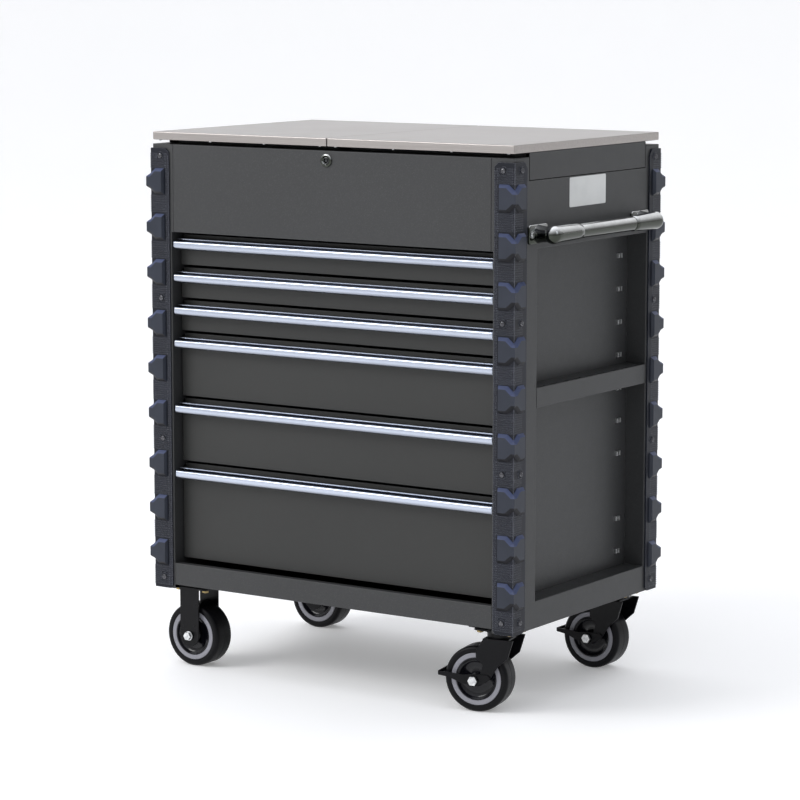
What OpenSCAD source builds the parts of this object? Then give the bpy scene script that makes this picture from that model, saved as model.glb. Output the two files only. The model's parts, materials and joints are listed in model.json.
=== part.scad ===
// Rolling tool chest: six drawers under a sliding two-part top, on four casters.
// The front faces -Y, the push handle is on the +X side, and Z = 0 is the floor.
// The origin is the middle of the whole object's box, on the floor.

/* [Cabinet] */
// Width over the steel body and the top
body_w = 838; // [780:2:920]
// Depth over the steel body and the top
body_d = 540; // [500:2:600]
// Height of the underside of the steel body above the floor
body_z0 = 162; // [160:1:170]
// Height of the upper edge of the steel body above the floor
body_z1 = 1051; // [1040:1:1080]
// Thickness of the folded sheet steel
sheet = 1.2; // [1:0.1:1.6]
// Width of each post on the front and on the rear
post_w = 44.5; // [42:0.5:50]
// Depth of the front post along the side
post_front_side = 83; // [70:1:90]
// Depth of the rear post along the side
post_rear_side = 45; // [42:1:60]

/* [Drawers] */
// Height of one drawer unit
unit_h = 65.5; // [62:0.5:68]
// Height of the upper edge of the first drawer front
first_front_z = 873.5; // [870:0.5:880]
// How far the drawer fronts stand behind the posts
front_setback = 27; // [24:1:32]
// Gap between neighbouring drawer fronts
front_gap = 4; // [3:0.5:6]
// Length of the drawer slides
slide_len = 450; // [400:10:460]
// Clear room between a drawer box and the inner wall
slide_room = 13; // [13:0.1:14]

/* [Sliding top] */
// Height of the work surface above the floor
top_z = 1075; // [1070:1:1110]
// Height of the folded edge of the stainless top
top_edge_h = 16; // [14:1:20]
// Gap between the two halves of the top
seam = 1.5; // [1:0.5:3]
// Length of the notch in each side wall, which the apron of the top fills
notch_len = 436; // [400:2:440]
// Depth of the notch below the upper edge of the side wall
notch_h = 44; // [40:1:50]

/* [Corner guards] */
// Width of each leg of a guard on the steel
guard_leg = 41; // [36:1:43]
// Thickness of a guard
guard_t = 4; // [3:0.5:5]
// How far a lug stands out of its guard
lug_proud = 6; // [4:0.5:8]
// Height of a lug
lug_h = 52; // [44:1:58]
// Height of the upper guard screws above the floor
screw_z1 = 1028; // [1020:1:1034]
// Height of the lower guard screws above the floor
screw_z0 = 184; // [178:1:190]

/* [Push handle] */
// Diameter of the bar
bar_d = 28; // [24:1:32]
// Distance from the side wall to the middle of the bar
bar_standoff = 36; // [34:1:50]
// Height of the bar above the floor
bar_z = 908; // [900:1:920]
// Length of the bar
bar_len = 340; // [320:2:344]

/* [Casters] */
// Diameter of a wheel
wheel_d = 127; // [120:1:130]
// Width of a wheel
wheel_w = 50; // [32:1:52]
// Distance of the rigid casters from the middle of the cabinet
rigid_x = 356; // [340:1:360]
// Distance of the swivel casters from the middle of the cabinet
swivel_x = 362; // [340:1:364]
// Distance of every caster from the middle of the cabinet, front to rear
caster_y = 215; // [200:1:220]
// Distance of a swivelling wheel's axle from its kingpin
trail = 42; // [36:1:46]
// Angle by which the front swivel caster is turned
front_turn = 11; // [0:1:20]

/* [Hidden] */
$fn = 48;

charcoal = [0.31, 0.32, 0.33];
front_grey = [0.29, 0.29, 0.27];
guard_navy = [0.16, 0.18, 0.23];
stainless = [0.75, 0.74, 0.72];
satin_alu = [0.70, 0.75, 0.82];
bright_chrome = [0.85, 0.86, 0.87];
zinc = [0.72, 0.72, 0.70];
fork_black = [0.06, 0.06, 0.06];
wheel_black = [0.08, 0.08, 0.09];

// half sizes of the cabinet
hx = body_w / 2;
hy = body_d / 2;
// inner face of the skins
ix = hx - sheet;
iy = hy - sheet;
// faces of the inner walls
wall_in = hx - post_w;
wall_out = wall_in + sheet;
// the box of the whole object runs from the left lugs to the handle's sockets
socket_r = bar_d / 2 + 3.5;
guard_out = guard_t + lug_proud;
cabinet_x = (guard_out - bar_standoff - socket_r) / 2;

// heights
pan_z = body_z0 + 8;
pan_top = pan_z + sheet;
sill_z = body_z0 + 52;
return_z0 = sill_z - 30;
panel_z0 = first_front_z + 5;
ledge_z = panel_z0 + 1.5;
floor_z = ledge_z + sheet;
crossbar_z0 = body_z0 + 419.5;
crossbar_h = 38;
notch_z = body_z1 - notch_h;
lock_z = body_z1 - 18.5;

// side recess, front to rear
recess_y0 = -hy + post_front_side;
recess_y1 = hy - post_rear_side;

// drawers: the height of each in units, the last one reaches the sill
units = [1, 1, 1, 2, 2];
drawers = len(units) + 1;
function units_above(i) = i == 0 ? 0 : units[i - 1] + units_above(i - 1);
function front_top(i) = first_front_z - unit_h * units_above(i);
function front_bottom(i) = i < len(units) ? front_top(i + 1) + front_gap : sill_z + 8;
function pull_z(i) = front_top(i) - 18;
// the deep drawers have two slides on each side
function slide_levels(i) = i < 3 ? 1 : 2;
function slide_z(i, level) = front_bottom(i) + 23 + level * (unit_h + 0.5);

face_y = -hy + front_setback;
// the strip above a pull lies behind the face
strip_h = 9;
strip_back = 10;
front_half_w = wall_in - 2.5;
pull_half_w = wall_in - 1.2;
box_half_w = wall_in - slide_room;
slide_y0 = -hy + 32;
slide_h = 34;
// running room between the nested members of a slide
slide_gap = 0.6;
middle_h = slide_h - 2 * (sheet + slide_gap);
inner_h = middle_h - 2 * (sheet + slide_gap);

// sliding top
ledge_w = (body_d - notch_len) / 2;
web_y = -hy + ledge_w;
top_under = top_z - top_edge_h;
top_slide_h = 30;
top_slide_z = notch_z + 7;
top_slide_len = 390;

// guards
screw_rows = 4;
bay_h = (screw_z1 - screw_z0) / (screw_rows - 1);
lugs_per_bay = 3;
lug_pitch = 90;
// how much lower a lug is at the corner, above and below
lug_dip = 11;
guard_top = body_z1 - 8;
screw_in = 21;
screw_r = 2.5;

// casters
axle_z = wheel_d / 2;
axle_r = 5;
plate_t = 3.5;
plate_x = 84;
plate_y = 70;
bolt_x = 33;
bolt_y = 23;
bolt_r = 4;
leg_gap = wheel_w / 2 + 6;
leg_t = 3;
rail_w = 104;
running = 0.05;
handle_bolt_offset = 25;
handle_bracket_y = 191;

// ---------------------------------------------------------------- helpers

module in_cabinet() {
    translate([cabinet_x, 0, 0]) children();
}

// a block from its lowest corner to its highest corner
module block(low, high) {
    translate(low) cube(high - low);
}

// a round bar along an axis, centred on a point
module along_y(r, len, sides = 48) {
    rotate([90, 0, 0]) cylinder(h = len, r = r, center = true, $fn = sides);
}

module along_x(r, len, sides = 48) {
    rotate([0, 90, 0]) cylinder(h = len, r = r, center = true, $fn = sides);
}

// the shape and its mirror image on the other side
module both_x() {
    children();
    mirror([1, 0, 0]) children();
}

module both_y() {
    children();
    mirror([0, 1, 0]) children();
}

module on_side(side) {
    if (side < 0) mirror([1, 0, 0]) children();
    else children();
}

// the places of the guard screws, on the +X front corner
module at_screws_front() {
    for (row = [0 : screw_rows - 1])
        translate([hx - screw_in, -hy, screw_z0 + row * bay_h]) rotate([90, 0, 0]) children();
}

module at_screws_side() {
    for (row = [0 : screw_rows - 1])
        translate([hx, -hy + screw_in, screw_z0 + row * bay_h]) rotate([0, 90, 0]) children();
}

module at_corner_screws() {
    at_screws_front() children();
    at_screws_side() children();
}

module at_plate_bolts(x, y) {
    for (dx = [-bolt_x, bolt_x])
        for (dy = [-bolt_y, bolt_y])
            translate([x + dx, y + dy, 0]) children();
}

module at_all_caster_bolts() {
    for (y = [-caster_y, caster_y]) {
        at_plate_bolts(-rigid_x, y) children();
        at_plate_bolts(swivel_x, y) children();
    }
}

// ---------------------------------------------------------------- cabinet

// floor sheet, front rail with its folded edge, and a low rear upstand
module base_pan() {
    in_cabinet() color(charcoal) difference() {
        union() {
            block([-ix, -iy, pan_z], [ix, iy, pan_top]);
            block([-wall_in + 0.2, -hy, pan_z], [wall_in - 0.2, -iy, sill_z]);
            block([-wall_in + 0.2, -iy, sill_z - sheet], [wall_in - 0.2, -hy + 14, sill_z]);
            block([-wall_in + 0.2, iy - sheet, pan_top], [wall_in - 0.2, iy, sill_z]);
        }
        at_all_caster_bolts()
            translate([0, 0, pan_z - 1]) cylinder(h = sheet + 2, r = bolt_r + 0.25);
    }
}

// posts, upper skin and sill of one side, folded from one sheet
module side_frame(side) {
    in_cabinet() on_side(side) color(charcoal) difference() {
        union() {
            difference() {
                block([ix, -hy, body_z0], [hx, hy, body_z1]);
                block([ix - 1, recess_y0, sill_z], [hx + 1, recess_y1, ledge_z]);
                block([ix - 1, -notch_len / 2, notch_z], [hx + 1, notch_len / 2, body_z1 + 1]);
            }
            // front leg, wider beside the front panel
            block([wall_in, -hy, body_z0], [ix, -iy, body_z1]);
            block([wall_in - 4.5, -hy, panel_z0], [wall_in, -iy, body_z1]);
            // rear leg
            block([wall_in, iy, body_z0], [ix, hy, body_z1]);
            // returns around the recess
            block([wall_out, recess_y0 - sheet, return_z0], [ix, recess_y0, ledge_z + sheet]);
            block([wall_out, recess_y1, return_z0], [ix, recess_y1 + sheet, ledge_z + sheet]);
            block([wall_out, recess_y0, ledge_z], [ix, recess_y1, ledge_z + sheet]);
            block([wall_out, recess_y0, sill_z - sheet], [ix, recess_y1, sill_z]);
            // folded bottom edge
            block([hx - 6, -iy, body_z0], [ix, iy, body_z0 + sheet]);
        }
        at_corner_screws() cylinder(h = 6, r = screw_r + 0.2, center = true);
        mirror([0, 1, 0]) at_corner_screws() cylinder(h = 6, r = screw_r + 0.2, center = true);
        if (side > 0) at_handle_bolts() along_x(bolt_r + 0.2, 8);
    }
}

// walls behind the recesses, which carry the drawer slides
module inner_walls() {
    in_cabinet() color(charcoal) both_x() difference() {
        block([wall_in, -iy, pan_top], [wall_out, iy, ledge_z + sheet]);
        for (i = [0 : drawers - 1])
            for (level = [0 : slide_levels(i) - 1])
                at_slide_hooks(slide_z(i, level), 0.5);
    }
}

// the hooks of one slide, or with a margin the windows that they pass through
module at_slide_hooks(z, margin) {
    for (y = [slide_y0 + 14, slide_y0 + 24, slide_y0 + slide_len - 24, slide_y0 + slide_len - 14])
        block([wall_in - 0.3, y - 2 - margin, z - 4.5 - margin],
              [wall_out + 4, y + 2 + margin, z + 4.5 + margin]);
}

// channels across the recesses, with a row of slots along the upper flange
module side_crossbars() {
    slots = 9;
    in_cabinet() color(charcoal) both_x() difference() {
        union() {
            block([ix, recess_y0, crossbar_z0], [hx, recess_y1, crossbar_z0 + crossbar_h]);
            for (z = [crossbar_z0, crossbar_z0 + crossbar_h - sheet])
                block([wall_out, recess_y0, z], [ix, recess_y1, z + sheet]);
        }
        for (k = [0 : slots - 1])
            translate([hx - 8, recess_y0 + 30 + k * 44, crossbar_z0 + crossbar_h])
                cube([6, 24, 4 * sheet], center = true);
    }
}

// a flange and a web along the inside of the front or rear edge of the cabinet
module upper_ledge() {
    block([-ix + 0.2, -iy, body_z1 - sheet], [ix - 0.2, web_y - sheet, body_z1]);
    block([-ix + 0.2, web_y - sheet, notch_z - 7], [ix - 0.2, web_y, body_z1]);
}

module back_panel() {
    in_cabinet() color(charcoal) mirror([0, 1, 0]) union() {
        block([-wall_in + 0.2, -hy, pan_z], [wall_in - 0.2, -iy, body_z1]);
        upper_ledge();
    }
}

// the fixed panel over the drawers, with the bore for the lock
module front_panel() {
    half_w = wall_in - 4.9;
    in_cabinet() color(charcoal) difference() {
        union() {
            block([-half_w, -hy, panel_z0], [half_w, -iy, body_z1]);
            block([-half_w, -iy, panel_z0], [half_w, -hy + 18, panel_z0 + sheet]);
            upper_ledge();
        }
        translate([0, -hy, lock_z]) along_y(9.6, 8);
    }
}

module compartment_floor() {
    in_cabinet() color(charcoal)
        block([-ix + 0.2, -iy + 0.2, floor_z], [ix - 0.2, iy - 0.2, floor_z + sheet]);
}

// ---------------------------------------------------------------- corner guards

// half of a lug's outline: full height on the leg, lower at the corner
module lug_outline() {
    reach = guard_leg - 5 + guard_t;
    low = lug_h / 2 - lug_dip;
    polygon([
        [0, -low], [6, -low], [20, -lug_h / 2], [reach, -lug_h / 2],
        [reach, lug_h / 2], [20, lug_h / 2], [6, low], [0, low]
    ]);
}

module lug() {
    corner_x = hx + guard_out;
    corner_y = -hy - guard_out;
    // on the front leg
    translate([corner_x, corner_y + lug_proud, 0]) rotate([90, 0, 0])
        linear_extrude(lug_proud) mirror([1, 0]) lug_outline();
    // on the side leg
    translate([corner_x - lug_proud, corner_y, 0]) rotate([90, 0, 90])
        linear_extrude(lug_proud) lug_outline();
}

// an angle over the post, nine lugs in three groups and the screw holes
module corner_guard(side, end) {
    in_cabinet() on_side(side) mirror([0, end > 0 ? 1 : 0, 0]) color(guard_navy) difference() {
        union() {
            block([hx - guard_leg, -hy - guard_t, body_z0], [hx + guard_t, -hy, guard_top]);
            block([hx, -hy, body_z0], [hx + guard_t, -hy + guard_leg, guard_top]);
            for (bay = [0 : screw_rows - 2])
                for (k = [0 : lugs_per_bay - 1])
                    translate([0, 0, screw_z0 + (bay + 0.5) * bay_h + (k - 1) * lug_pitch]) lug();
        }
        at_corner_screws() cylinder(h = 12, r = screw_r + 0.2, center = true);
    }
}

// pan-head screws through the guards into the posts
module guard_screws() {
    in_cabinet() color(fork_black) both_x() both_y() at_corner_screws() {
        translate([0, 0, -5]) cylinder(h = guard_t + 5, r = screw_r);
        translate([0, 0, guard_t]) cylinder(h = 1.6, r = 5);
        translate([0, 0, guard_t + 1.6]) cylinder(h = 1, r1 = 5, r2 = 3.6);
    }
}

// ---------------------------------------------------------------- drawer slides

// one C-shaped member: a web and two flanges, opening towards -X when dir is -1
module channel(x, dir, depth, height, y0, length) {
    low = min(x, x + dir * sheet);
    tip = x + dir * depth;
    block([low, y0, -height / 2], [low + sheet, y0 + length, height / 2]);
    for (z = [-height / 2, height / 2 - sheet])
        block([min(x, tip), y0, z], [max(x, tip), y0 + length, z + sheet]);
}

module at_drawer_slides(i) {
    for (level = [0 : slide_levels(i) - 1])
        translate([0, 0, slide_z(i, level)]) children();
}

module slide_channels(side) {
    in_cabinet() on_side(side) color(zinc)
        for (i = [0 : drawers - 1]) {
            at_drawer_slides(i)
                channel(wall_in, -1, 9, slide_h, slide_y0, slide_len);
            for (level = [0 : slide_levels(i) - 1])
                at_slide_hooks(slide_z(i, level), 0);
        }
}

// the middle members, which move half as far as their drawer
module drawer_runners(i) {
    in_cabinet() color(zinc) both_x() at_drawer_slides(i - 1)
        channel(wall_in - 2.4, -1, 8.6, middle_h, slide_y0, slide_len - 5);
}

// ---------------------------------------------------------------- drawers

// front, sides, rear and floor of a drawer, with its inner slide members
module drawer_box(i) {
    k = i - 1;
    low = front_bottom(k) + 4;
    high = front_top(k) - 12;
    face_top = front_top(k) - strip_h;
    rear = slide_y0 + slide_len + 2;
    t = 1;
    in_cabinet() color(front_grey) union() {
        block([-front_half_w, face_y, front_bottom(k)],
              [front_half_w, face_y + sheet, face_top]);
        for (z = [front_bottom(k), face_top - sheet])
            block([-front_half_w, face_y, z], [front_half_w, face_y + strip_back, z + sheet]);
        // upstand behind the strip
        block([-front_half_w, face_y + strip_back - sheet, face_top - sheet],
              [front_half_w, face_y + strip_back, front_top(k) - 2]);
        block([-box_half_w, face_y + sheet, low], [box_half_w, rear, low + t]);
        block([-box_half_w, rear - t, low], [box_half_w, rear, high - 4]);
        both_x() {
            block([box_half_w - t, face_y + sheet, low], [box_half_w, rear, high]);
            // folded upper edge of the side
            block([box_half_w - 5, face_y + sheet, high - t], [box_half_w, rear, high]);
            at_drawer_slides(k)
                channel(box_half_w, 1, 8.4, inner_h, slide_y0, slide_len);
        }
    }
}

// section of the aluminium pull: rear wall with a lip, groove and round nose
module pull_section() {
    nose_y = -front_setback + 1;
    nose_r = 4;
    low = -12;
    high = 5;
    difference() {
        union() {
            translate([nose_y + nose_r, low + 2 * nose_r])
                square([-nose_y - nose_r, high - low - 2 * nose_r]);
            translate([nose_y + 2 * nose_r, low]) square([-nose_y - 2 * nose_r, 2 * nose_r]);
            translate([nose_y, low + 2 * nose_r]) square([2 * nose_r, high - low - 3 * nose_r]);
            translate([nose_y + nose_r, high - nose_r]) circle(r = nose_r);
            translate([nose_y + 2 * nose_r, low + 2 * nose_r]) circle(r = 2 * nose_r);
            // lip along the upper edge of the rear wall
            translate([-4, high - 1]) square([4, 5]);
            translate([-10, high + 2]) square([8, 2]);
        }
        // groove for the fingers
        translate([nose_y + 2 * nose_r, low + 5]) square([-nose_y - 4 - 2 * nose_r, 13]);
    }
}

module drawer_pull(i) {
    in_cabinet() translate([-pull_half_w, face_y, pull_z(i - 1)]) rotate([90, 0, 90])
        color(satin_alu) linear_extrude(2 * pull_half_w) pull_section();
}

// ---------------------------------------------------------------- sliding top

// stainless skin of one half, open below, with a narrow flange under its edge
module top_skin(side) {
    in_cabinet() on_side(side) color(stainless) difference() {
        block([seam / 2, -hy, top_under], [hx, hy, top_z]);
        block([seam / 2 + sheet, -iy, top_under + sheet], [ix, iy, top_z - sheet]);
        block([seam / 2 + 9, -hy + 9, top_under - 1], [hx - 9, hy - 9, top_under + 2 * sheet]);
    }
}

// painted closing sheet, side apron and the two hangers that carry the runners
module top_frame(side) {
    inside = 0.2;
    hanger_y = -web_y - 11.6;
    z = top_under + sheet;
    in_cabinet() on_side(side) color(charcoal) union() {
        block([seam / 2 + sheet + inside, -iy + inside, z], [ix - inside, iy - inside, z + sheet]);
        block([hx - 9.2, -notch_len / 2 + 1.5, top_under - sheet],
              [hx, notch_len / 2 - 1.5, top_under]);
        block([hx - 9.2 - sheet, -notch_len / 2 + 1.5, top_under - sheet],
              [hx - 9.2, notch_len / 2 - 1.5, z]);
        block([ix, -notch_len / 2 + 1.5, notch_z + 1.5], [hx, notch_len / 2 - 1.5, top_under]);
        both_y() block([15, hanger_y - sheet, top_slide_z], [15 + top_slide_len, hanger_y, z]);
    }
}

// fixed channels inside the front and rear ledges, shared by both halves
module top_slide_channels() {
    z = top_slide_z + top_slide_h / 2;
    in_cabinet() color(zinc) both_y() translate([0, web_y, z]) {
        block([-ix + 4, 0, -top_slide_h / 2], [ix - 4, 1.5, top_slide_h / 2]);
        for (dz = [-top_slide_h / 2, top_slide_h / 2 - 1.5])
            block([-ix + 4, 0, dz], [ix - 4, 10, dz + 1.5]);
    }
}

// members that ride in those channels, fixed to the hangers of one half
module top_runners(side) {
    z = top_slide_z + top_slide_h / 2;
    half = top_slide_h / 2 - 2.3;
    in_cabinet() on_side(side) color(zinc) both_y() translate([15, web_y, z]) {
        block([0, 10.1, -half], [top_slide_len, 11.6, half]);
        for (dz = [-half, half - 1.5])
            block([0, 2.6, dz], [top_slide_len, 11.6, dz + 1.5]);
    }
}

// ---------------------------------------------------------------- lock

// chrome bezel and threaded body through the front panel, with its nut behind
module lock_housing() {
    in_cabinet() color(bright_chrome) translate([0, -hy, lock_z]) rotate([90, 0, 0]) difference() {
        union() {
            cylinder(h = 2.2, r = 12.8);
            translate([0, 0, 2.2]) cylinder(h = 1.6, r1 = 12.8, r2 = 10.6);
            translate([0, 0, -22]) cylinder(h = 22, r = 9.5);
            translate([0, 0, -sheet - 4]) cylinder(h = 4, r = 13, $fn = 6);
        }
        translate([0, 0, -23]) cylinder(h = 28, r = 7);
    }
}

// key barrel with its tubular keyway, and the cam on its inner end
module lock_barrel() {
    in_cabinet() color(fork_black) translate([0, -hy, lock_z]) rotate([90, 0, 0]) union() {
        difference() {
            translate([0, 0, -24]) cylinder(h = 26.4, r = 7 - running);
            difference() {
                translate([0, 0, -2]) cylinder(h = 8, r = 4.6);
                translate([0, 0, -3]) cylinder(h = 10, r = 3);
            }
        }
        difference() {
            union() {
                translate([0, 0, -26]) cylinder(h = 2, r = 9);
                translate([-7, -26, -26]) cube([14, 26, 2]);
            }
            translate([0, -22, -27]) cylinder(h = 4, r = 2.2);
        }
    }
}

// ---------------------------------------------------------------- push handle

module at_handle_bolts() {
    for (y = [-handle_bracket_y, handle_bracket_y])
        for (dy = [-handle_bolt_offset, handle_bolt_offset])
            translate([hx, y + dy, bar_z]) children();
}

module push_handle() {
    in_cabinet() color(bright_chrome) translate([hx + bar_standoff, 0, bar_z]) difference() {
        along_y(bar_d / 2, bar_len);
        along_y(bar_d / 2 - 1.5, bar_len + 2);
    }
}

// foot plate, round elbow and tapered socket of one bracket, on the front end of the bar
module handle_bracket() {
    foot_t = 5;
    neck_r = 15;
    socket_len = 91;
    translate([hx, -handle_bracket_y, bar_z]) difference() {
        union() {
            block([0, -33, -18], [foot_t, 33, 18]);
            translate([bar_standoff / 2, 0, 0]) along_x(neck_r, bar_standoff);
            translate([bar_standoff, 0, 0]) sphere(r = socket_r);
            translate([bar_standoff, 0, 0]) rotate([-90, 0, 0])
                cylinder(h = socket_len, r1 = socket_r - 0.5, r2 = bar_d / 2 + 1);
        }
        translate([bar_standoff, handle_bracket_y, 0]) along_y(bar_d / 2 + running, bar_len + 0.2);
        for (dy = [-handle_bolt_offset, handle_bolt_offset])
            translate([0, dy, 0]) along_x(bolt_r + 0.2, 30);
    }
}

module handle_brackets() {
    in_cabinet() color(bright_chrome) both_y() handle_bracket();
}

// round-headed bolts through the feet of the brackets, with nuts inside
module handle_bolts() {
    in_cabinet() color(zinc) at_handle_bolts() {
        translate([-1, 0, 0]) along_x(bolt_r, 20);
        translate([6.5, 0, 0]) along_x(6.5, 3);
        translate([-sheet - 3, 0, 0]) along_x(7, 6, 6);
    }
}

// ---------------------------------------------------------------- casters

// U-shaped rails under the pan, which the caster plates are bolted to
module caster_rails() {
    web_t = 2.5;
    end_y = hy - 24;
    in_cabinet() color(fork_black) difference() {
        for (x = [-rigid_x, swivel_x - 2]) translate([x, 0, 0]) {
            block([-rail_w / 2, -end_y, body_z0], [rail_w / 2, end_y, body_z0 + web_t]);
            both_x() block([rail_w / 2 - web_t, -end_y, body_z0], [rail_w / 2, end_y, pan_z]);
        }
        at_all_caster_bolts()
            translate([0, 0, body_z0 - 1]) cylinder(h = web_t + 2, r = bolt_r + 0.25);
    }
}

// plate with four rounded corners and four bolt holes, its upper face at z = 0
module caster_plate() {
    corner_r = 8;
    translate([0, 0, -plate_t]) difference() {
        union() {
            block([-plate_x / 2, -plate_y / 2 + corner_r, 0], [plate_x / 2, plate_y / 2 - corner_r, plate_t]);
            block([-plate_x / 2 + corner_r, -plate_y / 2, 0], [plate_x / 2 - corner_r, plate_y / 2, plate_t]);
            for (x = [-1, 1])
                for (y = [-1, 1])
                    translate([x * (plate_x / 2 - corner_r), y * (plate_y / 2 - corner_r), 0])
                        cylinder(h = plate_t, r = corner_r);
        }
        at_plate_bolts(0, 0) translate([0, 0, -1]) cylinder(h = plate_t + 2, r = bolt_r + 0.25);
    }
}

// straight fork with round leg ends, bent from the plate
module rigid_fork() {
    leg_w = 46;
    translate([0, 0, body_z0]) caster_plate();
    both_y() difference() {
        union() {
            block([-leg_w / 2, leg_gap, axle_z], [leg_w / 2, leg_gap + leg_t, body_z0 - plate_t]);
            translate([0, leg_gap + leg_t / 2, axle_z]) along_y(leg_w / 2, leg_t);
        }
        translate([0, leg_gap, axle_z]) along_y(axle_r + running, 12);
    }
}

module rigid_forks() {
    in_cabinet() color(fork_black)
        for (y = [-caster_y, caster_y]) translate([-rigid_x, y, 0]) rigid_fork();
}

// axle bolt with a hexagon head in front and a nut behind, about the wheel's middle
module axle() {
    reach = leg_gap + leg_t;
    along_y(axle_r, 2 * reach + 16);
    translate([0, -reach - 6.5, 0]) along_y(8.5, 6, 6);
    translate([0, reach + 6.5, 0]) along_y(8.5, 6, 6);
    both_y() translate([0, reach + 3, 0]) along_y(9.5, 1);
}

module rigid_axles() {
    in_cabinet() color(zinc)
        for (y = [-caster_y, caster_y]) translate([-rigid_x, y, axle_z]) axle();
}

// fixed plate and kingpin of each swivel caster
module swivel_plates() {
    in_cabinet() color(fork_black)
        for (y = [-caster_y, caster_y]) translate([swivel_x, y, body_z0]) {
            caster_plate();
            translate([0, 0, -16.5]) cylinder(h = 16.5 - plate_t, r = 6);
            translate([0, 0, -21]) cylinder(h = 4.5, r = 9.5);
        }
}

module caster_bolts() {
    in_cabinet() color(zinc) at_all_caster_bolts() {
        translate([0, 0, body_z0 - 9]) cylinder(h = 23, r = bolt_r);
        translate([0, 0, body_z0 - plate_t - 4.5]) cylinder(h = 4.5, r = 7, $fn = 6);
        translate([0, 0, pan_top]) cylinder(h = 5, r = 7, $fn = 6);
    }
}

// puts a swivelling piece at its kingpin, turned as it stands at rest
module at_swivel(end) {
    translate([swivel_x, end * caster_y, 0]) rotate([0, 0, end < 0 ? front_turn : 0]) children();
}

// bearing cap around the kingpin, and two legs that lean back to the axle
module swivel_fork() {
    cap_z = body_z0 - plate_t - 1;
    difference() {
        union() {
            translate([0, 0, cap_z - 3]) cylinder(h = 3, r = 29);
            translate([0, 0, cap_z - 12]) cylinder(h = 9, r = 27);
            block([-25, -leg_gap - leg_t, cap_z - 15], [25, leg_gap + leg_t, cap_z - 12]);
            both_y() translate([0, leg_gap + leg_t, 0]) rotate([90, 0, 0])
                linear_extrude(leg_t) difference() {
                    union() {
                        polygon([[-24, cap_z - 12], [-39, 119], [-39, 108], [-25, 94], [-30, 76],
                                 [-trail, axle_z + 12], [-trail + 6, axle_z - 10.4],
                                 [-9, 70], [-4, 78], [6, 93], [25, 110], [36, cap_z - 12]]);
                        translate([-trail, axle_z]) circle(r = 12);
                    }
                    translate([-trail, axle_z]) circle(r = axle_r + running);
                }
        }
        translate([0, 0, cap_z - 20]) cylinder(h = 30, r = 6 + running);
        translate([0, 0, cap_z - 25]) cylinder(h = 14, r = 10.5);
    }
}

module swivel_fork_front() { in_cabinet() color(fork_black) at_swivel(-1) swivel_fork(); }
module swivel_fork_rear() { in_cabinet() color(fork_black) at_swivel(1) swivel_fork(); }

module swivel_axle(end) {
    in_cabinet() color(zinc) at_swivel(end) translate([-trail, 0, axle_z]) {
        along_y(axle_r, 2 * (leg_gap + leg_t) + 20);
        both_y() translate([0, leg_gap + leg_t + 8, 0]) along_y(9.5, 6, 6);
    }
}

module swivel_axle_front() { swivel_axle(-1); }
module swivel_axle_rear() { swivel_axle(1); }

// stamped lever around the axle, outside the legs, with a foot pad past the tread
module brake_pedal(end) {
    arm_t = 2;
    arm_y = leg_gap + leg_t + 0.5;
    pad_in = axle_z + 4;
    pad_out = axle_z + 9;
    in_cabinet() color(fork_black) at_swivel(end) translate([-trail, 0, axle_z]) union() {
        both_y() translate([0, arm_y + arm_t, 0]) rotate([90, 0, 0]) linear_extrude(arm_t)
            difference() {
                union() {
                    circle(r = 12);
                    polygon([[-6, -10], [-26, -7], [-50, 2], [-pad_out, 5], [-pad_out, 12],
                             [-50, 12], [-22, 9], [-4, 11.5]]);
                    polygon([[4, -11.3], [26, -2], [34, 6], [28, 12], [4, 11.3]]);
                }
                circle(r = axle_r + running);
            }
        block([-pad_out, -arm_y - arm_t, 5], [-pad_in, arm_y + arm_t, 7]);
        block([-pad_out - 2, -arm_y + 2, 5], [-pad_out, arm_y - 2, 12]);
    }
}

module brake_pedal_front() { brake_pedal(-1); }
module brake_pedal_rear() { brake_pedal(1); }

// half section of a wheel: round tread, recessed ring, dished hub and bore
module wheel_section() {
    r = wheel_d / 2;
    h = wheel_w / 2;
    edge = 7;
    difference() {
        union() {
            square([r - edge, h]);
            square([r, h - edge]);
            translate([r - edge, h - edge]) circle(r = edge);
        }
        translate([-1, -1]) square([axle_r + running + 1, wheel_w]);
        translate([-1, -wheel_w]) square([wheel_d, wheel_w]);
        // shallow ring between tread and hub
        translate([41, h - 1.2]) square([9.3, 2]);
        // dished hub around its boss
        translate([15, h - 7]) square([24, 8]);
    }
    translate([axle_r + running, 0]) square([7, leg_gap - 0.4]);
}

module wheel() {
    color(wheel_black) rotate([90, 0, 0]) {
        rotate_extrude() wheel_section();
        mirror([0, 0, 1]) rotate_extrude() wheel_section();
    }
}

module rigid_wheel(end) {
    in_cabinet() translate([-rigid_x, end * caster_y, axle_z]) wheel();
}

module swivel_wheel(end) {
    in_cabinet() at_swivel(end) translate([-trail, 0, axle_z]) wheel();
}

// ---------------------------------------------------------------- pieces

base_pan();
side_frame(-1);  // side_frame_left
side_frame(1);  // side_frame_right
inner_walls();
side_crossbars();
back_panel();
front_panel();
compartment_floor();
corner_guard(-1, -1);  // corner_guard_front_left
corner_guard(1, -1);  // corner_guard_front_right
corner_guard(-1, 1);  // corner_guard_rear_left
corner_guard(1, 1);  // corner_guard_rear_right
guard_screws();
slide_channels(-1);  // slide_channels_left
slide_channels(1);  // slide_channels_right
top_slide_channels();
push_handle();
handle_brackets();
handle_bolts();
lock_housing();
lock_barrel();
caster_rails();
rigid_forks();
rigid_axles();
swivel_plates();
caster_bolts();
swivel_fork_front();
swivel_fork_rear();
swivel_axle_front();
swivel_axle_rear();
brake_pedal_front();
brake_pedal_rear();
rigid_wheel(-1);  // wheel_front_left
rigid_wheel(1);  // wheel_rear_left
swivel_wheel(-1);  // wheel_front_right
swivel_wheel(1);  // wheel_rear_right
top_skin(-1);  // top_skin_left
top_skin(1);  // top_skin_right
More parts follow.
